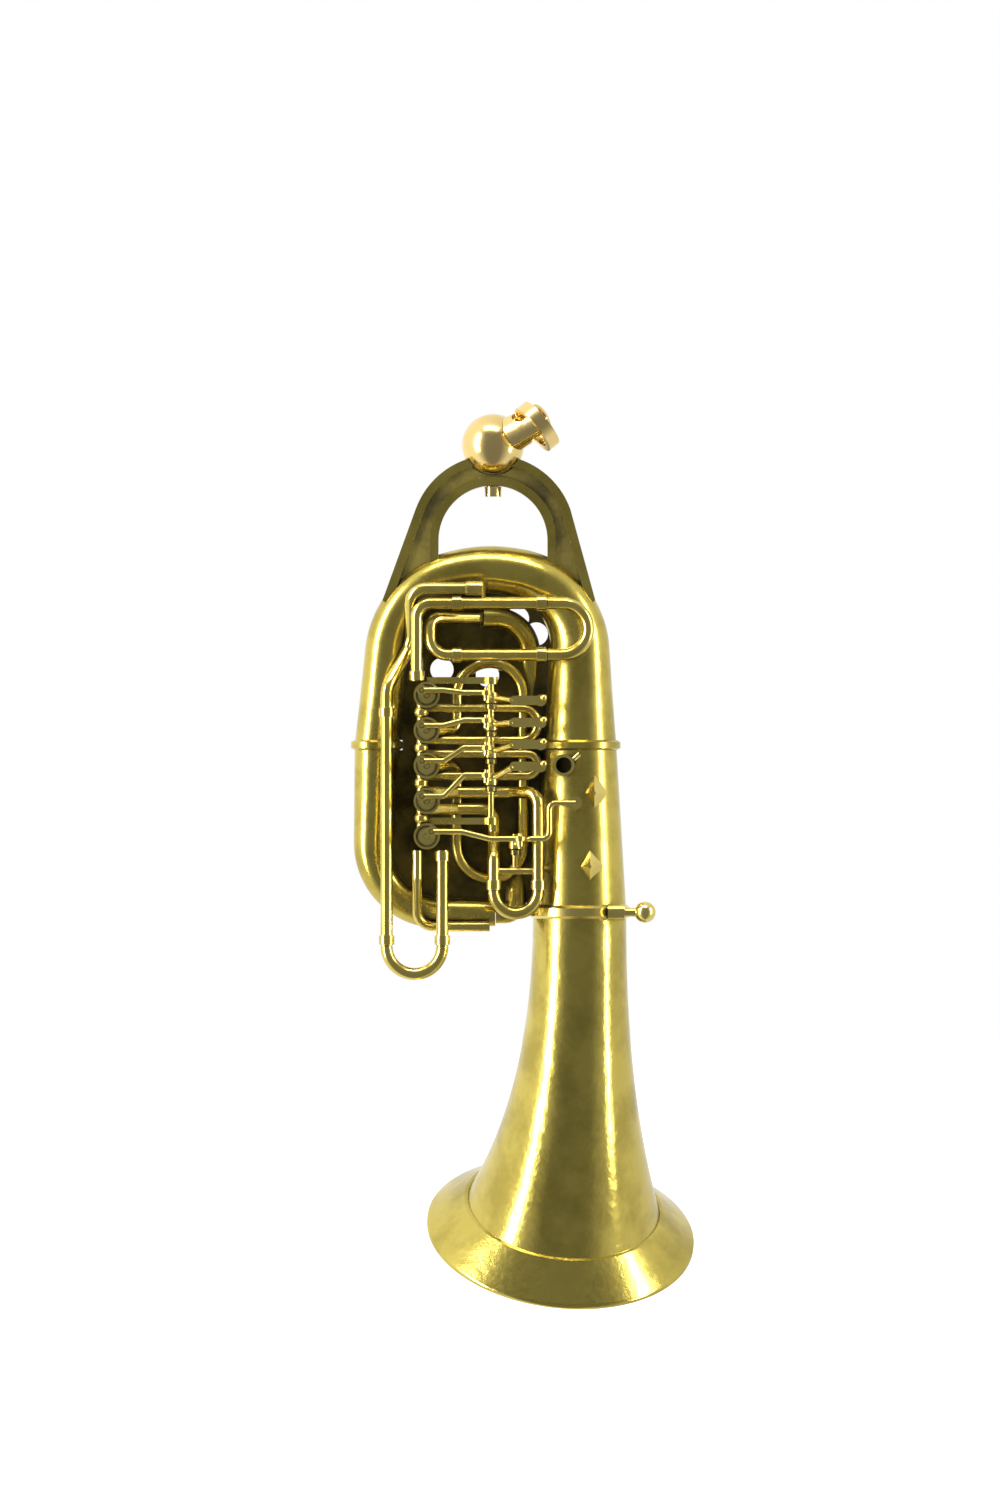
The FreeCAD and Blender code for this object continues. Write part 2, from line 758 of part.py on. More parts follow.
# Racetrack slide: lead tube from valve 1, two legs, the sliding bow and the fixed left curve
lead_tube = pipe(
    [
        at(-lead_x, front, -valve_column_top),
        at(-lead_x, front, -race_top),
        at(race_joint_right, front, -race_top),
    ],
    [1.3],
    tube_diameter,
)
checked(lead_tube, "racetrack_upper_leg", horn)
race_curve = pipe(
    [
        at(race_joint_right, front, -race_bottom),
        at(-race_joint_left - 2.4, front, -race_bottom),
        at(-race_joint_left - 2.4, front + 0.9, -race_top - 1.3),
        at(-race_joint_left + 2.2, front + 3.6, -race_top - 1.3),
    ],
    [1.6, 1.2],
    tube_diameter,
)
checked(race_curve, "racetrack_lower_leg", horn)
race_bow_start = race_joint_right + 0.05
race_bow = pipe(
    [
        at(race_bow_start, front, -race_top),
        at(race_end, front, -race_top),
        at(race_end, front, -race_bottom),
        at(race_bow_start, front, -race_bottom),
    ],
    [race_bow_radius - 0.01, race_bow_radius - 0.01],
    tube_diameter,
    wall=(tube_diameter - slide_leg) / 2 + slide_wall,
)
race_legs = []
for drop in (race_top, race_bottom):
    start = at(race_bow_start - race_engaged, front, -drop)
    outside = cylinder(slide_leg / 2, race_engaged + 0.2, start, across)
    inside = cylinder(slide_leg / 2 - slide_wall, race_engaged + 1, start - across * 0.2, across)
    race_legs.append(cut(outside, inside))
checked(fused(race_bow, *race_legs), "racetrack_bow", horn)
sleeves(
    [at(x, front, -drop) for x in (-race_joint_left, race_joint_right - 0.5) for drop in (race_top, race_bottom)],
    across,
)

# Fourth valve's slide, down the front beside the bell branch
fourth_valve = first_valve + valve_pitch * 3
port_offset = size("port_offset", 0.75)
port_plane = size("port_plane", 3.1)
crook_plane = size("crook_plane", 1.75)
short_upper = fourth_valve - port_offset
short_lower = fourth_valve + port_offset
behind_x = -valve_x + casing_radius + 1.5
short_inlet = pipe(
    [
        at(-valve_x, -port_plane, -short_lower),
        at(behind_x, -crook_plane, -short_lower),
        at(short_left, -crook_plane, -short_lower),
        at(short_left, -crook_plane, -short_lower - 2.2),
        at(short_left, front, -short_lower - 4.5),
        at(short_left, front, -short_joint),
    ],
    [0.6, 1.0, 1.0, 1.0],
    tube_diameter,
)
checked(cut(short_inlet, casings), "short_slide_left_tube", horn)
short_outlet = pipe(
    [
        at(-valve_x, -port_plane, -short_upper),
        at(behind_x, -crook_plane, -short_upper),
        at(short_right - 2.4, -crook_plane, -short_upper),
        at(short_right, front, -short_upper),
        at(short_right, front, -short_joint),
    ],
    [0.6, 0.8, 1.2],
    tube_diameter,
)
checked(cut(short_outlet, casings), "short_slide_right_tube", horn)
slide_bow("short_slide_bow", short_left, short_right, short_joint, short_engaged)
sleeves(
    [at(x, front, -short_joint + 0.5) for x in (short_left, short_right)],
    up,
)

# Back plumbing: the narrowing inner branch, the long valve loop and two valve crooks
inner_depth = size("inner_branch_behind", 1.5)
inner_right = size("inner_branch_right", 3.3)
inner_foot = size("inner_branch_foot", 2.0)
inner_top = size("inner_branch_below_ball", 15.6)
inner_diameter = size("inner_branch_diameter", 1.9)
inner_points = [
    at(bottom_end + 0.05, 0, -bottom_drop),
    at(inner_foot, 0, -bottom_drop),
    at(inner_foot + 0.1, inner_depth, -bottom_drop + 3.8),
    at(inner_right, inner_depth, -inner_top - 8),
    at(inner_right, 0.9, -inner_top),
    at(-race_joint_left + 2.25, front + 3.6, -race_top - 1.3),
]
inner_bends = [1.0, 1.8, 6, 3.2]
inner_branch = pipe(inner_points, inner_bends, inner_diameter, wall=0.25)
checked(inner_branch, "inner_branch", horn)

# Casting web: the thin sheet the mould leaves between the tubes, pierced where they part
web_plane = size("web_behind", 0.5)
web_thickness = size("web_thickness", 0.5)
web_foot = size("web_foot_below_ball", 41.2)
web_route = route(
    [
        at(right_limb, web_plane, -web_foot),
        at(right_limb, web_plane, -oval_top - oval_rise),
        at((right_limb - left_shoulder) / 2, web_plane, -oval_top),
        at(-left_shoulder, web_plane, -oval_top - oval_rise),
        at(-left_limb, web_plane, -seam_drop),
        at(-left_foot, web_plane, -bottom_drop),
        at(bottom_end, web_plane, -bottom_drop),
        at(bottom_end + 1.8, web_plane, -web_foot),
    ],
    [right_bend, crown_bend, left_bend, 10, lower_bend, 1.0],
)
doc.recompute()
web_edges = list(web_route.Shape.Edges)
web_ends = [vertex.Point for vertex in web_route.Shape.OrderedVertexes]
web_edges.append(Part.LineSegment(web_ends[-1], web_ends[0]).toShape())
web = Part.Face(Part.Wire(web_edges)).extrude(Vector(0, float(web_thickness), 0))
seam_reach = (right_seam_diameter / 2 + ferrule_wall + seam_fit + seat_gap, left_seam_diameter / 2 + 0.5)
web_relief = [
    swept(top_route, right_seam_diameter, crown_tube_diameter, left_seam_diameter),
    swept(route(bottom_points, [lower_bend]), left_seam_diameter, bottom_end_diameter),
    swept(route(inner_points, inner_bends), inner_diameter),
    cone(joint_radius, seam_radius, branch_length, at(right_limb, 0, -bell_joint_drop)),
    cylinder(seam_reach[0], seam_ferrule_length, at(right_limb, 0, -seam_drop - seam_ferrule_length / 2)),
    cylinder(seam_reach[1], seam_ferrule_length, at(-left_limb, 0, -seam_drop - seam_ferrule_length / 2)),
]
web_hole = size("web_hole_diameter", 2.1)
for hole_x, hole_drop in ((-4.6, 20.2), (-0.5, 20.7), (2.2, 15.6), (3.9, 17.0)):
    web_relief.append(cylinder(web_hole / 2, 3, at(hole_x, -1, -hole_drop), forward * -1))
doc.recompute()
for relief in web_relief:
    web = web.cut(relief.Shape)
casting_web = doc.addObject("Part::Feature", "web_sheet")
casting_web.Shape = web
checked(casting_web, "casting_web", horn)
loop_left = size("valve_loop_left", 3.24)
loop_right = size("valve_loop_right", 2.7)
loop_top = size("valve_loop_below_ball", 19.6)
loop_foot = size("valve_loop_foot_below_ball", 39.0)
loop_diameter = size("valve_loop_diameter", 1.0)
loop_bend = (loop_left + loop_right) / 2 - 0.01
loop_plane = size("valve_loop_behind", -0.25)
second_valve = first_valve + valve_pitch
third_valve = first_valve + valve_pitch * 2
valve_loop = pipe(
    [
        at(-valve_x, -port_plane, -second_valve),
        at(-loop_left, loop_plane, -second_valve),
        at(-loop_left, loop_plane, -loop_top),
        at(loop_right, loop_plane, -loop_top),
        at(loop_right, loop_plane, -loop_foot),
        at(-loop_left, loop_plane, -loop_foot),
        at(-loop_left, loop_plane, -third_valve),
        at(-valve_x, -port_plane, -third_valve),
    ],
    [0.8, loop_bend, loop_bend, loop_bend, loop_bend, 0.8],
    loop_diameter,
)
checked(cut(valve_loop, casings), "valve_loop", horn)
crook_diameter = size("crook_diameter", 0.8)
crook_right = size("crook_right", 4.0)
for name, upper, lower in (
    ("upper_valve_crook", first_valve + 1.2, second_valve + 0.9),
    ("lower_valve_crook", third_valve - 1.05, third_valve + 0.95),
):
    bend = (lower - upper) / 2 - 0.01
    crook = pipe(
        [
            at(-valve_x, -crook_plane, -upper),
            at(crook_right, -crook_plane, -upper),
            at(crook_right, -crook_plane, -lower),
            at(-valve_x, -crook_plane, -lower),
        ],
        [bend, bend],
        crook_diameter,
        wall=0.12,
    )
    checked(crook, name, horn)
return_diameter = size("foot_tube_diameter", 0.9)
foot_x = size("foot_tube_left", 6.8)
foot_end = size("foot_tube_end", 0.3)
foot_tube = pipe(
    [
        at(-foot_x, front, -valve_floor),
        at(-foot_x, front, -valve_floor - 2.5),
        at(-foot_x, -1.5, -bottom_drop - 1.2),
        at(-foot_end, -1.5, -bottom_drop - 1.2),
    ],
    [1.5, 1.5],
    return_diameter,
)
checked(foot_tube, "foot_tube", horn)
checked(group(*ferrules), "tube_ferrules", horn)

# Valves: casing, rotor with its stop arm, and a back cap, five times down the column
rotor_radius = casing_radius - casing_wall - running_gap
rotor_height = casing_length - 0.7
pin_offset = stop_radius * math.sqrt(0.5)
lever_arm = pin_offset.number / math.sin(math.radians(float(lever_travel) / 2))
hinge_plane = link_plane - lever_arm * math.cos(math.radians(float(lever_travel) / 2))
caps = []
passage_radius = size("rotor_passage_diameter", 0.7) / 2


def valve(number):
    """One rotary valve; returns its stop pin's centre at rest."""
    drop = first_valve + valve_pitch * number
    centre = at(-valve_x, front, -drop)
    inner = casing_radius - casing_wall
    bearing = spindle_diameter / 2 + running_gap
    revolved(
        f"valve_casing_{number + 1}",
        [
            (bearing, casing_half - 0.55),
            (inner, casing_half - 0.55),
            (inner, -casing_half),
            (casing_radius, -casing_half),
            (casing_radius, casing_half),
            (inner, casing_half),
            (inner - 0.05, casing_half - 0.25),
            (bearing, casing_half - 0.25),
        ],
        standing(-valve_x, front, -drop, forward),
    )
    cap_start = centre - forward * float(casing_half + cap_thickness)
    rim = cylinder(casing_radius, cap_thickness - seat_gap, cap_start, forward)
    knurl = cylinder(casing_radius - 0.35, cap_thickness / 2, cap_start, forward)
    caps.append(cut(rim, knurl))
    # the thumb valve's lever swings the other way, so its pin rests on the other side
    side = 1 if number == valve_count.number - 1 else -1
    pin_place = centre + Vector(side * pin_offset.number, 0, pin_offset.number)
    disc_start = centre + forward * float(casing_half + 0.06)
    rotor_start = centre - forward * float(casing_half - 0.05)
    passages = []
    for turn in (-1, 1):
        middle = centre + Vector(turn, 0, -turn) * float(casing_radius * 0.95)
        passages.append(torus(casing_radius * 0.8, passage_radius, middle, forward))
    disc = cut(
        cylinder(stop_disc / 2, stop_thickness, disc_start, forward),
        cylinder(stop_disc / 2 - 0.45, 0.12, disc_start + forward * float(stop_thickness - 0.1), forward),
    )
    core = cut(cylinder(rotor_radius, rotor_height, rotor_start, forward), fused(*passages))
    spindle = cylinder(spindle_diameter / 2, casing_length + 0.2, rotor_start, forward)
    pin_start = Vector(pin_place.x, disc_start.y, pin_place.z)
    pin_length = link_plane + 0.35 + disc_start.y
    pin = cylinder(pin_diameter / 2, pin_length, pin_start, forward)
    checked(fused(core, spindle, disc, pin), f"valve_rotor_{number + 1}", horn)
    return Vector(pin_place.x, -float(link_plane), pin_place.z)


def link(number, start, end):
    """A push rod from the stop pin to the lever's pin, stepped where their levels differ."""
    step = 0.34 * (end - start).x
    points = [start, at(start.x + step, start.y, start.z), at(end.x - step, end.y, end.z), end]
    rod = swept(route(points, [0.4, 0.4]), rod_diameter)
    thickness = 0.36
    near = cylinder(eye_diameter / 2, thickness, start - forward * (thickness / 2), forward)
    far = cylinder(eye_diameter / 2, thickness, end - up * (thickness / 2))
    near_hole = cylinder(pin_diameter / 2 + running_gap, 2, start - forward, forward)
    far_hole = cylinder(pin_diameter / 2 + running_gap * 2, 2, end - up)
    checked(cut(fused(rod, near, far), fused(near_hole, far_hole)), f"valve_link_{number + 1}", horn)


def lever(number, hinge_x, level, link_end, rest_of_lever):
    """Hub, forward arm and pin, joined to the piece that the player presses."""
    arm_level = level - 0.44
    axis = at(hinge_x, -hinge_plane, arm_level)
    hub = cylinder(hub_diameter / 2, hub_length, axis - up * float(hub_length / 2))
    tip = Vector(link_end.x, link_end.y, arm_level)
    arm = cylinder(0.2, (tip - axis).Length, axis, tip - axis)
    pin = cylinder(pin_diameter / 2, 1.0, tip - up * 0.1)
    knob = cylinder(0.28, 0.47, tip - up * 0.26)
    bore = cylinder(hinge_diameter / 2 + running_gap, hub_length * 2, axis - up * float(hub_length))
    checked(cut(fused(hub, arm, knob, pin, *rest_of_lever), bore), f"valve_lever_{number + 1}", horn)


def paddle(number, hinge_x, level):
    """The slanting rod and the finger paddle, with its round tail and raised tip."""
    paddle_z = -float(first_paddle + paddle_pitch * number)
    start = at(1.9, -paddle_plane, paddle_z)
    hub = at(hinge_x, -hinge_plane, level - 0.44)
    rod = cylinder(rod_diameter / 2, (start - hub).Length, hub, start - hub)
    half = paddle_width / 2
    back = -float(paddle_plane) + float(paddle_thickness / 2)
    plate = box(paddle_length - half, paddle_thickness, paddle_width * 0.8, at(1.9, 0, paddle_z - half.number * 0.8))
    plate.Placement.Base.y = back - paddle_thickness.number
    tail = cylinder(half * 0.8, paddle_thickness, at(1.9, back, paddle_z), forward)
    head = cylinder(half, paddle_thickness, at(paddle_length + 1.9 - half, back, paddle_z), forward)
    tip = sphere(0.3, at(paddle_length + 1.9 - 0.25, back - paddle_thickness.number, paddle_z + 0.25))
    return [rod, plate, tail, head, tip]


thumb_x = size("thumb_hinge_x", 2.0)
thumb_rise = size("thumb_rise", 3.2)
thumb_corner = size("thumb_corner_x", 5.05)
thumb_end = size("thumb_end_x", 7.4)
thumb_plane = size("thumb_plane", 4.95)
springs = []
for number in range(int(valve_count.number)):
    stop_pin = valve(number)
    is_thumb = number == valve_count.number - 1
    hinge_x = thumb_x.number if is_thumb else -hinge_left.number
    level = -float(thumb_hub) if is_thumb else -float(first_hub + hub_pitch * number)
    side = 1 if is_thumb else -1
    link_end = at(hinge_x + side * pin_offset.number, -link_plane, level)
    link(number, stop_pin, link_end)
    if is_thumb:
        hub = at(hinge_x, -hinge_plane, level - 0.44)
        lead = at(hinge_x + 1.3, -thumb_plane, level)
        points = [
            hub,
            lead,
            at(thumb_corner, -thumb_plane, level),
            at(thumb_corner, -thumb_plane, level + thumb_rise),
            at(thumb_end, -thumb_plane, level + thumb_rise),
        ]
        rod = swept(route(points, [0.5, 0.6, 0.6]), rod_diameter)
        touch = cylinder(0.6, paddle_thickness, points[-1] - forward * 0.2, forward)
        lever(number, hinge_x, level, link_end, [rod, touch])
    else:
        lever(number, hinge_x, level, link_end, paddle(number, hinge_x, level))
    spring_top = at(hinge_x, -hinge_plane, level - 0.44 - hub_length.number / 2 - 0.65)
    coil = cylinder(hinge_diameter / 2 + 0.22, 0.6, spring_top)
    springs.append(cut(coil, cylinder(hinge_diameter / 2 + 0.08, 2, spring_top - up)))
checked(group(*springs), "lever_springs", horn)
checked(group(*caps), "valve_caps", horn)

# Valve knuckles: short necks between neighbouring casings
necks = []
for number in range(int(valve_count.number) - 1):
    middle = at(-valve_x - 0.5, front, -first_valve - valve_pitch * (number + 0.5))
    neck = fused(cylinder(0.42, valve_pitch, middle - up * float(valve_pitch / 2)), sphere(0.62, middle))
    necks.append(cut(neck, casings))
checked(group(*necks), "valve_knuckles", horn)

# Hinge rods and the brackets that hold them
rod_top = first_hub - 1.4
rod_bottom = first_hub + hub_pitch * 3 + 4.45
thumb_rod_drop = thumb_hub + 2.9
main_rod = cylinder(hinge_diameter / 2, rod_bottom - rod_top, at(-hinge_left, -hinge_plane, -rod_bottom))
thumb_rod = cylinder(hinge_diameter / 2, 3.3, at(thumb_x, -hinge_plane, -thumb_rod_drop))
checked(group(main_rod, thumb_rod), "hinge_rods", horn)
bracket_height = size("bracket_height", 0.6)
brackets = []
rods = group(
    cylinder(hinge_diameter / 2, 40, at(-hinge_left, -hinge_plane, -rod_bottom - 20)),
    cylinder(hinge_diameter / 2, 40, at(thumb_x, -hinge_plane, -rod_bottom - 20)),
)
for drop in (rod_top + bracket_height, rod_bottom):
    bar = box(valve_x - hinge_left, 0.45, bracket_height, at(-valve_x, -casing_half - 1.35, -drop))
    bar.Placement.Base.y = -float(front_plane) + casing_half.number - 0.55
    eye = cylinder(hub_diameter / 2, bracket_height, at(-hinge_left, -hinge_plane, -drop))
    brackets.append(cut(cut(fused(bar, eye), casings), rods))
brace_start = at(short_left, front, -thumb_rod_drop)
brace = fused(
    cylinder(0.3, short_right - short_left, brace_start, across),
    cylinder(hub_diameter / 2, bracket_height, at(thumb_x, -hinge_plane, -thumb_rod_drop - 0.3)),
)
legs = group(
    cylinder(tube_radius, 10, at(short_left, front, -thumb_rod_drop - 5)),
    cylinder(tube_radius, 10, at(short_right, front, -thumb_rod_drop - 5)),
)
brackets.append(cut(cut(brace, legs), rods))
checked(group(*brackets), "hinge_brackets", horn)

# Stays and bosses on the conical branch
branch_skin = cone(joint_radius, seam_radius, branch_length, branch_bell_end)


def stay(start, end, tools):
    return cut(cylinder(0.35, (end - start).Length, start, end - start), tools)


bottom_skin = swept(route(bottom_points, [lower_bend]), left_seam_diameter, bottom_end_diameter)
slide_skin = cylinder(tube_radius, long_joint - long_top, at(-long_left, front, -long_joint))
limb_tools = group(bottom_skin, slide_skin)
stays = [
    stay(at(-long_left, front, -drop), at(-long_left - 0.9, 0, -drop), limb_tools) for drop in (30.5, 37.5)
]
race_skin = cylinder(tube_radius, 8, at(-race_joint_left, front, -race_top), across)
stays.append(stay(at(-1, front, -race_top), at(-1, 0, -oval_top), group(crown_solid, race_skin)))
leg_skin = cylinder(tube_radius, 8, at(short_right, front, -short_joint))
stays.append(
    stay(at(short_right, front, -short_joint + 2), at(right_limb, 0, -short_joint + 2), group(branch_skin, leg_skin))
)
checked(group(*stays), "stays", horn)


boss_width = size("boss_width", 2.4)
boss_height = size("boss_height", 3.6)
boss_root = 1.2
boss_tip = 0.12


def boss(x, drop, reach):
    """A diamond-shaped pyramid standing on the branch."""
    half_width = boss_width.number / 2
    half_height = boss_height.number / 2
    outlines = []
    for shrink, plane in ((1, boss_root - reach.number), (boss_tip, -reach.number)):
        tips = [(half_width, 0), (0, half_height), (-half_width, 0), (0, -half_height), (half_width, 0)]
        outlines.append(Part.makePolygon([at(x + u * shrink, plane, v * shrink - drop) for u, v in tips]))
    pyramid = doc.addObject("Part::Feature", "pyramid")
    pyramid.Shape = Part.makeLoft(outlines, True, True)
    return cut(pyramid, branch_skin)


upper_boss = size("upper_boss_below_ball", 31.3)
lower_boss = size("lower_boss_below_ball", 37.9)
upper_reach = size("upper_boss_reach", 4.25)
lower_reach = size("lower_boss_reach", 4.7)
bosses = [boss(right_limb + 1.3, upper_boss, upper_reach), boss(right_limb + 0.9, lower_boss, lower_reach)]
checked(group(*bosses), "diamond_bosses", horn)
ring_x = size("finger_ring_x", 6.35)
ring_drop = size("finger_ring_below_ball", 28.8)
finger_ring = size("finger_ring_diameter", 1.95)
ring_front = at(ring_x, -4.3, -ring_drop)
finger_tube = cut(
    cylinder(finger_ring / 2, 2.4, ring_front, -forward), cylinder(finger_ring / 2 - 0.27, 4, ring_front, -forward)
)
arm_start = ring_front + Vector(0.85, 0.6, 0.5)
finger_arm = cylinder(0.25, 0.7, arm_start, Vector(1, 0.35, 0.9))
checked(cut(fused(finger_tube, finger_arm), branch_skin), "finger_ring", horn)

doc.recompute()
for thing in doc.Objects:
    if "Invalid" in thing.State or "Error" in thing.State:
        raise RuntimeError(f"{thing.Label} did not build: {thing.State}")
for piece in pieces:
    if piece.Shape.isNull() or not piece.Shape.isValid() or not piece.Shape.Solids:
        raise RuntimeError(f"{piece.Label} is not a valid solid")
for piece in pieces:
    piece.Shape.exportStep(f"parts/{piece.Label}.step")
print("ball centre", *[round(value, 4) for value in ball_centre])
print("eye cup axis", *[round(value, 5) for value in cup_axis])
print("ring eye", *[round(value, 4) for value in ring_eye], "axis", *[round(v, 5) for v in ring_pivot_axis])
print("ring axis", *[round(value, 5) for value in ring_axis])
print("hinge plane", round(float(hinge_plane), 4), "lever arm", round(float(lever_arm), 4))
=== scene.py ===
import json
import math

import bmesh
import bpy
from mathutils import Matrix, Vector


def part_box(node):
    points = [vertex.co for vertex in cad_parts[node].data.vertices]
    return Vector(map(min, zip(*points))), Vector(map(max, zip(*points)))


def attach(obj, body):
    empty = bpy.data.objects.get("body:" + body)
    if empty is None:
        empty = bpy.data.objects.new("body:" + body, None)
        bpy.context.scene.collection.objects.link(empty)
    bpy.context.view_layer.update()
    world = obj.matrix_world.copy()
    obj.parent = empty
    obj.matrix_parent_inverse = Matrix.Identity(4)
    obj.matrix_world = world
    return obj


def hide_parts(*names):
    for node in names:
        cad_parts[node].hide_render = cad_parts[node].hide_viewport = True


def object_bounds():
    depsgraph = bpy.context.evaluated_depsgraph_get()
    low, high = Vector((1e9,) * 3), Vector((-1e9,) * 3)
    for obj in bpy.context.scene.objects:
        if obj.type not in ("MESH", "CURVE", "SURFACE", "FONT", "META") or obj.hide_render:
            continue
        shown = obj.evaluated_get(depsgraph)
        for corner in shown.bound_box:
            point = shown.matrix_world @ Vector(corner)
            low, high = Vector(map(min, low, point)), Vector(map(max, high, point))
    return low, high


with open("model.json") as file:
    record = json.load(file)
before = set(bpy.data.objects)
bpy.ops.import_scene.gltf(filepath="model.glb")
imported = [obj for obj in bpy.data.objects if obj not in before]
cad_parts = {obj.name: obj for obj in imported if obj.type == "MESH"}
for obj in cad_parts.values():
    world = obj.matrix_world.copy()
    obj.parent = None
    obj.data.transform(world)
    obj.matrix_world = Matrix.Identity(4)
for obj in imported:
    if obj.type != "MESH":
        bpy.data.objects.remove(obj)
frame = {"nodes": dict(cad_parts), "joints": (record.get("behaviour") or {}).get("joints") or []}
cad_low, cad_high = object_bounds()

# Camera: level with the middle of the horn and far back on a long lens, so that the tubes keep
# their proportions from the ring down to the bell.
swivel = next(joint for joint in frame["joints"] if joint["name"] == "ball_swivel")
swivel_centre = Vector(swivel["pos_m"])
view_centre = swivel_centre + Vector((0.00063, 0.0, -0.0274))
view_distance = 1.3
view_height = 0.1349
lens_data = bpy.data.cameras.new("studio_camera")
lens_data.sensor_width = 36.0
lens_data.lens = lens_data.sensor_width * view_distance / view_height
lens_data.clip_start = 0.01
camera = bpy.data.objects.new("studio_camera", lens_data)
camera.location = view_centre - Vector((0.0, view_distance, 0.0))
camera.rotation_euler = (math.radians(90.0), 0.0, 0.0)
bpy.context.scene.collection.objects.link(camera)
bpy.context.scene.camera = camera
bpy.context.scene.view_settings.view_transform = "Standard"


# Room: pale walls, brighter on the left, and a dark wall behind the camera, which draws the dark
# stripe down the middle of every polished tube. Seen directly, the room is plain white.
class Shade:
    """A socket of a node tree, so that a shader's maths can be written as an expression."""

    def __init__(self, tree, socket=None):
        self.tree = tree
        self.socket = socket

    def node(self, kind, settings=None, **values):
        """Adds a node of that kind, gives it its settings and then its sockets' values or links.
        A socket is named with an underscore for each space, or by its number, as in2."""
        made = self.tree.nodes.new(kind)
        for name, value in (settings or {}).items():
            setattr(made, name, value)
        for name, value in values.items():
            numbered = name.startswith("in") and name[2:].isdigit()
            socket = made.inputs[int(name[2:]) if numbered else name.replace("_", " ")]
            if isinstance(value, Shade):
                self.tree.links.new(value.socket, socket)
            else:
                socket.default_value = value
        return made

    def out(self, kind, output=0, settings=None, **values):
        """The same, for one output of the new node."""
        return Shade(self.tree, self.node(kind, settings, **values).outputs[output])

    def maths(self, operation, first, second=0.0, clamp=False):
        settings = {"operation": operation, "use_clamp": clamp}
        return self.out("ShaderNodeMath", 0, settings, in0=first, in1=second)

    def __add__(self, other):
        return self.maths("ADD", self, other)

    __radd__ = __add__

    def __sub__(self, other):
        return self.maths("SUBTRACT", self, other)

    def __rsub__(self, other):
        return self.maths("SUBTRACT", other, self)

    def __mul__(self, other):
        return self.maths("MULTIPLY", self, other)

    __rmul__ = __mul__

    def held(self, low, high):
        """This value between low and high, stretched to run from 0 to 1 and held there."""
        return self.maths("MULTIPLY", self - low, 1.0 / (high - low), clamp=True)

    def blend(self, first, second):
        """The first colour where this mask is 0, and the second where it is 1."""
        settings = {"data_type": "RGBA", "clamp_factor": True}
        return self.out("ShaderNodeMix", 2, settings, in0=self, in6=first, in7=second)


right_wall = (0.85, 0.85, 0.85, 1.0)
left_wall = (1.15, 1.15, 1.15, 1.0)
dark_wall = (0.23, 0.235, 0.245, 1.0)
white = (1.0, 1.0, 1.0, 1.0)
room = bpy.data.worlds.new("pale_room")
bpy.context.scene.world = room
room.use_nodes = True
room.node_tree.nodes.clear()
air = Shade(room.node_tree)
ray = air.node("ShaderNodeNewGeometry")
inward = Shade(room.node_tree, ray.outputs["Incoming"])
across = air.out("ShaderNodeSeparateXYZ", 0, in0=inward)
height = air.out("ShaderNodeSeparateXYZ", 2, in0=inward)
flattening = {"operation": "MULTIPLY"}
level_ray = air.out("ShaderNodeVectorMath", 0, flattening, in0=inward, in1=(1.0, 1.0, 0.0))
level_ray = air.out("ShaderNodeVectorMath", 0, {"operation": "NORMALIZE"}, in0=level_ray)
facing = air.out("ShaderNodeSeparateXYZ", 1, in0=level_ray)
wall = across.held(-0.6, 0.6).blend(right_wall, left_wall)
overhead = (height * -1.0).held(0.70, 0.95)
behind = facing.held(0.35, 0.85) * (1.0 - overhead)
glow = behind.blend(wall, dark_wall)
seen = air.out("ShaderNodeLightPath", 0)
backdrop = air.out("ShaderNodeBackground", 0, Color=seen.blend(glow, white), Strength=1.0)
air.node("ShaderNodeOutputWorld", Surface=backdrop)

# Floor: a matt white sweep a few millimetres below the hanging bell, kept out of the gold's
# reflections, as the real one stands well below the object.
floor_half = 1.5
floor_drop = 0.006
floor_level = cad_low.z - floor_drop
floor_mesh = bpy.data.meshes.new("studio_floor")
floor_corners = [
    (-floor_half, -floor_half, floor_level),
    (floor_half, -floor_half, floor_level),
    (floor_half, floor_half, floor_level),
    (-floor_half, floor_half, floor_level),
]
floor_mesh.from_pydata(floor_corners, [], [(0, 1, 2, 3)])
studio_floor = bpy.data.objects.new("studio_floor", floor_mesh)
bpy.context.scene.collection.objects.link(studio_floor)
floor_paint = bpy.data.materials.new("pale_floor")
floor_paint.use_nodes = True
floor_paint.node_tree.nodes.clear()
floor_shade = Shade(floor_paint.node_tree)
floor_coat = floor_shade.out(
    "ShaderNodeBsdfPrincipled",
    Base_Color=(0.97, 0.97, 0.97, 1.0),
    Roughness=0.8,
    Emission_Color=white,
    Emission_Strength=0.35,
)
floor_shade.node("ShaderNodeOutputMaterial", Surface=floor_coat)
floor_mesh.materials.append(floor_paint)
studio_floor.visible_glossy = False


# Lamps: three soft boxes round the front, tall ones at the left and right and a wide one above.
# Each draws one bright line along the tubes.
def soft_lamp(name, place, width, height, power):
    """A soft box that looks at the middle of the horn."""
    data = bpy.data.lights.new(name, "AREA")
    data.shape = "RECTANGLE"
    data.size = width
    data.size_y = height
    data.energy = power
    lamp = bpy.data.objects.new(name, data)
    lamp.location = place
    lamp.rotation_mode = "QUATERNION"
    lamp.rotation_quaternion = (view_centre - Vector(place)).to_track_quat("-Z", "Y")
    bpy.context.scene.collection.objects.link(lamp)


soft_lamp("lamp_left", (-0.42, -0.22, 0.05), width=0.10, height=0.5, power=3.6)
soft_lamp("lamp_right", (0.46, -0.16, 0.04), width=0.06, height=0.5, power=1.8)
soft_lamp("lamp_top", (-0.05, -0.22, 0.50), width=0.45, height=0.10, power=1.8)

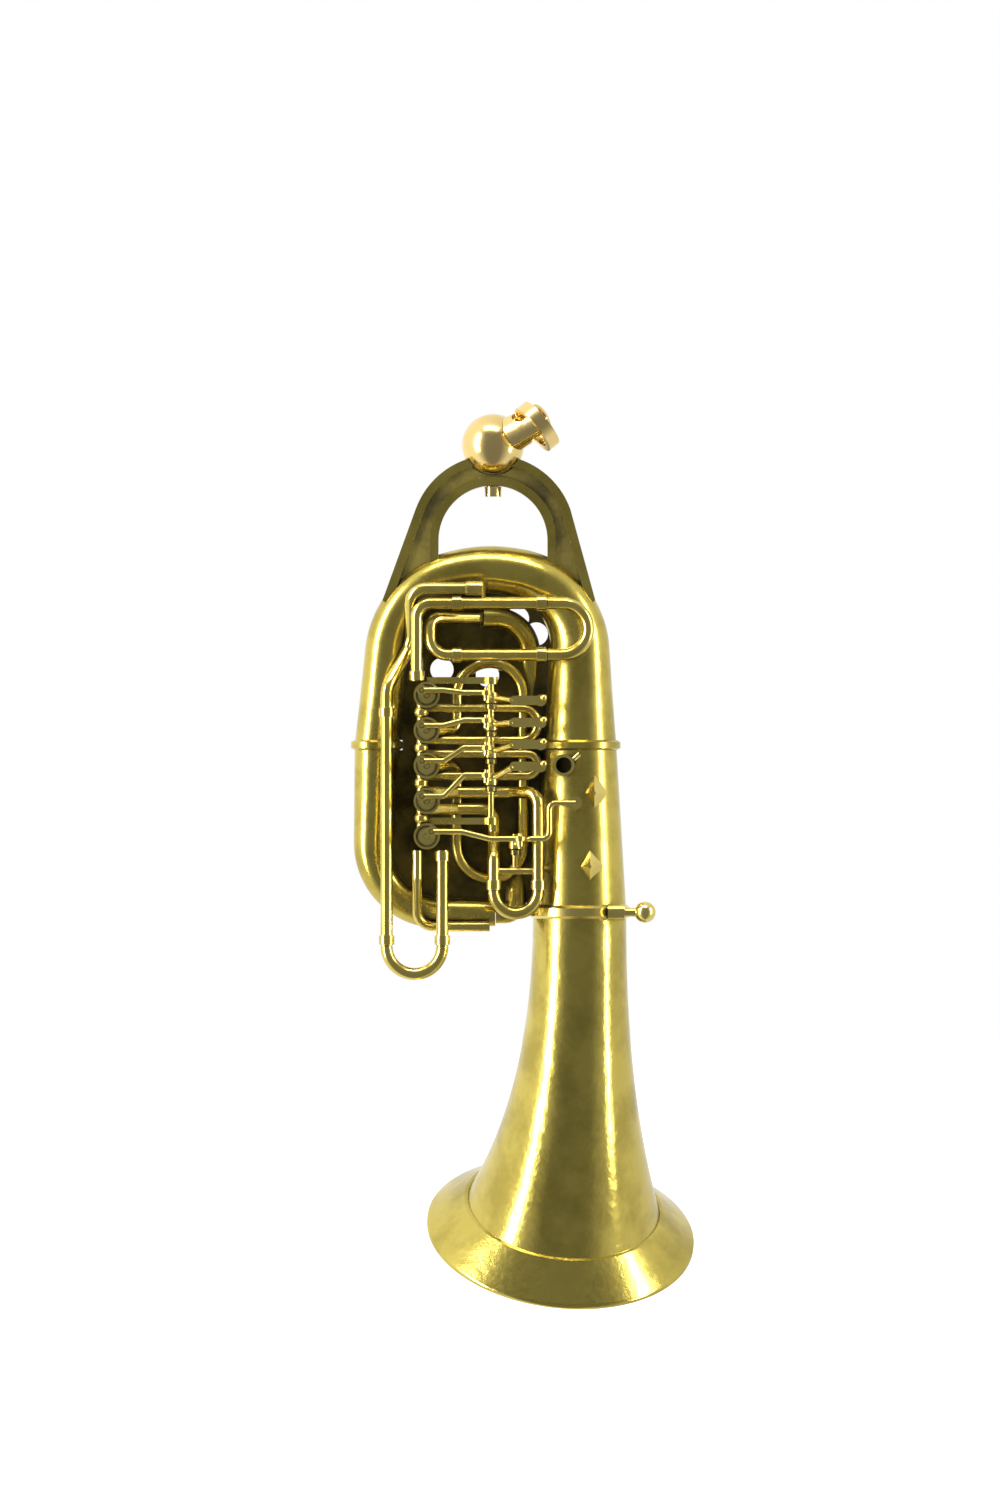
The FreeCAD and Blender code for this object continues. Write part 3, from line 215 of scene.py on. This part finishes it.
# Oval body: the wide top and bottom bows and the two limbs between them, one big tapering tube
# bent back on itself. It is cast in zinc alloy, plated in antique gold, dipped in a black patina
# and rubbed. The black where the tubes lap is that patina together with painted shade, laid
# wherever the surface is closed in.
patina_and_shade_black = (0.016, 0.012, 0.004, 1.0)
cloud_scale = 220.0
grain_scale = 2600.0
ripple_depth = 0.00012


def antique_gold(
    name, bright, worn, roughness, dark_reach, mottle, ripple, dark_amount=1.0, hollow=None
):
    """A plated finish: two golds mottled into each other, with patina and painted shade in black
    wherever it is closed in.
    Between the two depths of a hollow, which the dip fills and rubbing misses, it is darker."""
    paint = bpy.data.materials.new(name)
    paint.use_nodes = True
    paint.node_tree.nodes.clear()
    gold = Shade(paint.node_tree)
    place = gold.out("ShaderNodeTexCoord", 3)
    clouds = gold.out(
        "ShaderNodeTexNoise", Vector=place, Scale=cloud_scale, Detail=5.0, Roughness=0.6
    )
    grain = gold.out(
        "ShaderNodeTexNoise", Vector=place, Scale=grain_scale, Detail=3.0, Roughness=0.6
    )
    # Painted shade and patina together: the ambient occlusion blackens the finish wherever other
    # surfaces close it in.
    closed = gold.node("ShaderNodeAmbientOcclusion", {"samples": 8}, Distance=dark_reach)
    open_air = Shade(paint.node_tree, closed.outputs["AO"])
    crevice = (1.0 - open_air + (clouds - 0.5) * 0.35).held(0.34, 0.66) * dark_amount
    if hollow:
        depth = gold.out("ShaderNodeSeparateXYZ", 1, in0=place)
        streaks = clouds.held(0.30, 0.70) * 0.45 + 0.45
        crevice = gold.maths("MAXIMUM", crevice, depth.held(hollow[0], hollow[1]) * streaks)
    rub = clouds.held(0.42, 0.62) * mottle
    colour = crevice.blend(rub.blend(bright, worn), patina_and_shade_black)
    rough = roughness + (grain - 0.5) * 0.12 + (clouds - 0.5) * 0.14 + crevice * 0.3
    dents = clouds * ripple + grain * 0.06
    surface = gold.out("ShaderNodeBump", Strength=0.35, Distance=ripple_depth, Height=dents)
    coat = gold.out(
        "ShaderNodeBsdfPrincipled",
        Base_Color=colour,
        Metallic=1.0 - crevice * 0.6,
        Roughness=rough,
        Normal=surface,
    )
    gold.node("ShaderNodeOutputMaterial", Surface=coat)
    return paint


def dress(material, *nodes):
    """Gives a finish to every material slot of those parts."""
    for name in nodes:
        mesh = frame["nodes"][name].data
        if not mesh.materials:
            mesh.materials.append(material)
        for number in range(len(mesh.materials)):
            mesh.materials[number] = material


body_gold = antique_gold(
    "body_gold",
    bright=(0.60, 0.48, 0.10, 1.0),
    worn=(0.36, 0.28, 0.05, 1.0),
    roughness=0.23,
    dark_reach=0.0034,
    mottle=0.7,
    ripple=0.6,
)
dress(
    body_gold,
    "top_bow",
    "bottom_bow",
    "bell_branch",
    "inner_branch",
    "right_limb_ferrule",
    "left_limb_ferrule",
)

# Hanger arch: a flat cast loop over the top bow with a D-shaped window through it. Its rims are
# rounded by rubbing, its sunk face keeps the patina, and its right foot is gathered in to the
# shoulder of the bow.
hollow_start = 0.00015
hollow_full = 0.0003
arch_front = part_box("hanger_arch")[0].y
arch_gold = antique_gold(
    "arch_gold",
    bright=(0.62, 0.50, 0.11, 1.0),
    worn=(0.34, 0.26, 0.05, 1.0),
    roughness=0.24,
    dark_reach=0.0012,
    mottle=0.6,
    ripple=0.8,
    hollow=(arch_front + hollow_start, arch_front + hollow_full),
)
arch_weld = 0.000005
arch_flatness = math.radians(1.0)
shoulder_drop = 0.0058
foot_gather = 0.09
leg_start = 0.0052
leg_width = 0.0015
edge_radius = 0.00012
sharp_edge = math.radians(40.0)
arch_mesh = frame["nodes"]["hanger_arch"].data.copy()
arch_shape = bmesh.new()
arch_shape.from_mesh(arch_mesh)
bmesh.ops.remove_doubles(arch_shape, verts=arch_shape.verts, dist=arch_weld)
bmesh.ops.dissolve_limit(
    arch_shape, angle_limit=arch_flatness, verts=arch_shape.verts, edges=arch_shape.edges
)
for corner in arch_shape.verts:
    reach = corner.co.x - swivel_centre.x
    below = swivel_centre.z - shoulder_drop - corner.co.z
    share = min(max((reach - leg_start) / leg_width, 0.0), 1.0)
    corner.co.x -= max(below, 0.0) * foot_gather * share
arch_shape.to_mesh(arch_mesh)
arch_shape.free()
arch_mesh.materials.clear()
arch_mesh.materials.append(arch_gold)
arch_piece = bpy.data.objects.new("rubbed_arch", arch_mesh)
bpy.context.scene.collection.objects.link(arch_piece)
edge_round = arch_piece.modifiers.new("edge_round", "BEVEL")
edge_round.width = edge_radius
edge_round.segments = 3
edge_round.limit_method = "ANGLE"
edge_round.angle_limit = sharp_edge
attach(arch_piece, "horn")
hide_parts("hanger_arch")

# Bell: a spun flare with a soldered garland band and a wired rim. The front is satin, with the
# faint ripples and clouds of a casting mould, so its reflections break up into patches.
bell_gold = antique_gold(
    "bell_gold",
    bright=(0.62, 0.50, 0.11, 1.0),
    worn=(0.38, 0.30, 0.06, 1.0),
    roughness=0.20,
    dark_reach=0.0020,
    mottle=0.7,
    ripple=2.2,
    dark_amount=0.9,
)
dress(bell_gold, "bell_flare", "bell_garland", "bell_rim_wire")

# Bell ferrule and small fittings: the collar where the bell meets its branch, the ball-headed
# screw in its lug, and the two diamond bosses and the finger ring, all rubbed brighter.
fitting_gold = antique_gold(
    "collar_gold",
    bright=(0.80, 0.65, 0.20, 1.0),
    worn=(0.60, 0.48, 0.12, 1.0),
    roughness=0.22,
    dark_reach=0.0008,
    mottle=0.6,
    ripple=0.6,
)
dress(fitting_gold, "bell_ferrule", "clamp_screw", "diamond_bosses", "finger_ring")

# Swivel: a bright ball and its stem, an eye cup that turns in the ball, and the ring. They are
# plated apart from the horn and hardly dipped, so they are warmer, brighter and clean.
swivel_gold = antique_gold(
    "ring_gold",
    bright=(0.90, 0.69, 0.28, 1.0),
    worn=(0.82, 0.60, 0.21, 1.0),
    roughness=0.17,
    dark_reach=0.0008,
    mottle=0.5,
    ripple=0.3,
    dark_amount=0.55,
)
dress(swivel_gold, "swivel_ball", "stem_collar", "eye_cup", "hang_ring")

# Casting web: the thin sheet that the mould leaves between the tubes. It lies deep behind the
# works, and its near-black colour is painted shade for that dark interior, with gold on its high
# spots.
web_black = antique_gold(
    "web_black",
    bright=(0.12, 0.095, 0.025, 1.0),
    worn=(0.030, 0.023, 0.008, 1.0),
    roughness=0.42,
    dark_reach=0.0030,
    mottle=0.9,
    ripple=1.5,
)
dress(web_black, "casting_web")

# Small tubing: the leadpipe, the three slides and the crooks between the valves, drawn thin and
# laid in front of the oval. The patina and painted shade sit under and between them.
tube_gold = antique_gold(
    "tube_gold",
    bright=(0.72, 0.58, 0.15, 1.0),
    worn=(0.50, 0.39, 0.08, 1.0),
    roughness=0.22,
    dark_reach=0.0014,
    mottle=0.6,
    ripple=0.5,
)
dress(
    tube_gold,
    "leadpipe",
    "mouthpiece_receiver",
    "long_slide_tube",
    "long_slide_return",
    "long_slide_bow",
    "racetrack_upper_leg",
    "racetrack_lower_leg",
    "racetrack_bow",
    "short_slide_left_tube",
    "short_slide_right_tube",
    "short_slide_bow",
    "valve_loop",
    "upper_valve_crook",
    "lower_valve_crook",
    "foot_tube",
    "tube_ferrules",
)

# Valves: five short casings in a row, facing forward, each with a rotor, a spindle and a stop
# disc at the front and a cap at the back. The stays and the levers' brackets match them.
valve_gold = antique_gold(
    "valve_gold",
    bright=(0.72, 0.58, 0.16, 1.0),
    worn=(0.50, 0.39, 0.08, 1.0),
    roughness=0.24,
    dark_reach=0.0007,
    mottle=0.6,
    ripple=0.7,
)
valve_numbers = range(1, 6)
for number in valve_numbers:
    dress(valve_gold, f"valve_casing_{number}", f"valve_rotor_{number}")
dress(valve_gold, "valve_caps", "valve_knuckles", "stays", "hinge_brackets", "hinge_rods")

# Levers and links: flat arms on a common rod, each turning its stop disc through a thin link.
# Fingers keep their tops bright, and the patina and painted shade stay along their roots.
lever_gold = antique_gold(
    "lever_gold",
    bright=(0.78, 0.63, 0.18, 1.0),
    worn=(0.60, 0.47, 0.11, 1.0),
    roughness=0.22,
    dark_reach=0.0007,
    mottle=0.5,
    ripple=0.5,
)
for number in valve_numbers:
    dress(lever_gold, f"valve_lever_{number}", f"valve_link_{number}")

# Return springs: a small coil round the hinge rod under each lever's hub, wound from one wire
# and dulled by the dip. Each coil fills the sleeve of metal that stands for it in the frame.
spring_wire = 0.00011
spring_turns = 4.0
spring_gap = 0.0008
spring_gold = antique_gold(
    "spring_steel",
    bright=(0.42, 0.34, 0.12, 1.0),
    worn=(0.20, 0.16, 0.06, 1.0),
    roughness=0.22,
    dark_reach=0.0006,
    mottle=0.5,
    ripple=0.2,
    dark_amount=0.8,
)
sleeve_points = [vertex.co for vertex in frame["nodes"]["lever_springs"].data.vertices]
sleeve_levels = sorted(point.z for point in sleeve_points)
sleeve_starts = [sleeve_levels[0]]
sleeve_ends = []
for below, above in zip(sleeve_levels, sleeve_levels[1:]):
    if above - below > spring_gap:
        sleeve_ends.append(below)
        sleeve_starts.append(above)
sleeve_ends.append(sleeve_levels[-1])
spring_seats = []
for start, end in zip(sleeve_starts, sleeve_ends):
    sleeve = [point for point in sleeve_points if start <= point.z <= end]
    left, right = min(point.x for point in sleeve), max(point.x for point in sleeve)
    front, back = min(point.y for point in sleeve), max(point.y for point in sleeve)
    spring_seats.append(((left + right) / 2, (front + back) / 2, start + spring_wire))
    sleeve_radius = (right - left) / 2
spring_height = sleeve_ends[0] - sleeve_starts[0] - spring_wire * 2

coils = bpy.data.node_groups.new("wound_springs", "GeometryNodeTree")
coils.interface.new_socket("Seats", in_out="INPUT", socket_type="NodeSocketGeometry")
for size_name in ("Coil Radius", "Wire Radius", "Turns", "Height"):
    coils.interface.new_socket(size_name, in_out="INPUT", socket_type="NodeSocketFloat")
coils.interface.new_socket("Finish", in_out="INPUT", socket_type="NodeSocketMaterial")
coils.interface.new_socket("Springs", in_out="OUTPUT", socket_type="NodeSocketGeometry")
wind = Shade(coils)
given = wind.node("NodeGroupInput")
asked = {socket.name: Shade(coils, socket) for socket in given.outputs if socket.name}
helix = wind.out(
    "GeometryNodeCurveSpiral",
    Resolution=24,
    Rotations=asked["Turns"],
    Start_Radius=asked["Coil Radius"],
    End_Radius=asked["Coil Radius"],
    Height=asked["Height"],
)
wire_round = wind.out(
    "GeometryNodeCurvePrimitiveCircle", Resolution=10, Radius=asked["Wire Radius"]
)
coil = wind.out("GeometryNodeCurveToMesh", Curve=helix, Profile_Curve=wire_round, Fill_Caps=True)
placed = wind.out("GeometryNodeInstanceOnPoints", Points=asked["Seats"], Instance=coil)
whole = wind.out("GeometryNodeRealizeInstances", Geometry=placed)
painted = wind.out("GeometryNodeSetMaterial", Geometry=whole, Material=asked["Finish"])
wind.node("NodeGroupOutput", Springs=painted)

seat_mesh = bpy.data.meshes.new("spring_seats")
seat_mesh.from_pydata(spring_seats, [], [])
seat_points = bpy.data.objects.new("spring_seats", seat_mesh)
bpy.context.scene.collection.objects.link(seat_points)
winding = seat_points.modifiers.new("winding", "NODES")
winding.node_group = coils
spring_sizes = {
    "Coil Radius": sleeve_radius - spring_wire,
    "Wire Radius": spring_wire,
    "Turns": spring_turns,
    "Height": spring_height,
    "Finish": spring_gold,
}
for socket in coils.interface.items_tree:
    if socket.in_out == "INPUT" and socket.name in spring_sizes:
        winding[socket.identifier] = spring_sizes[socket.name]
settled = seat_points.evaluated_get(bpy.context.evaluated_depsgraph_get())
wound = bpy.data.meshes.new_from_object(settled)
bpy.data.objects.remove(seat_points)
return_springs = bpy.data.objects.new("return_springs", wound)
bpy.context.scene.collection.objects.link(return_springs)
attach(return_springs, "horn")
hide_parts("lever_springs")
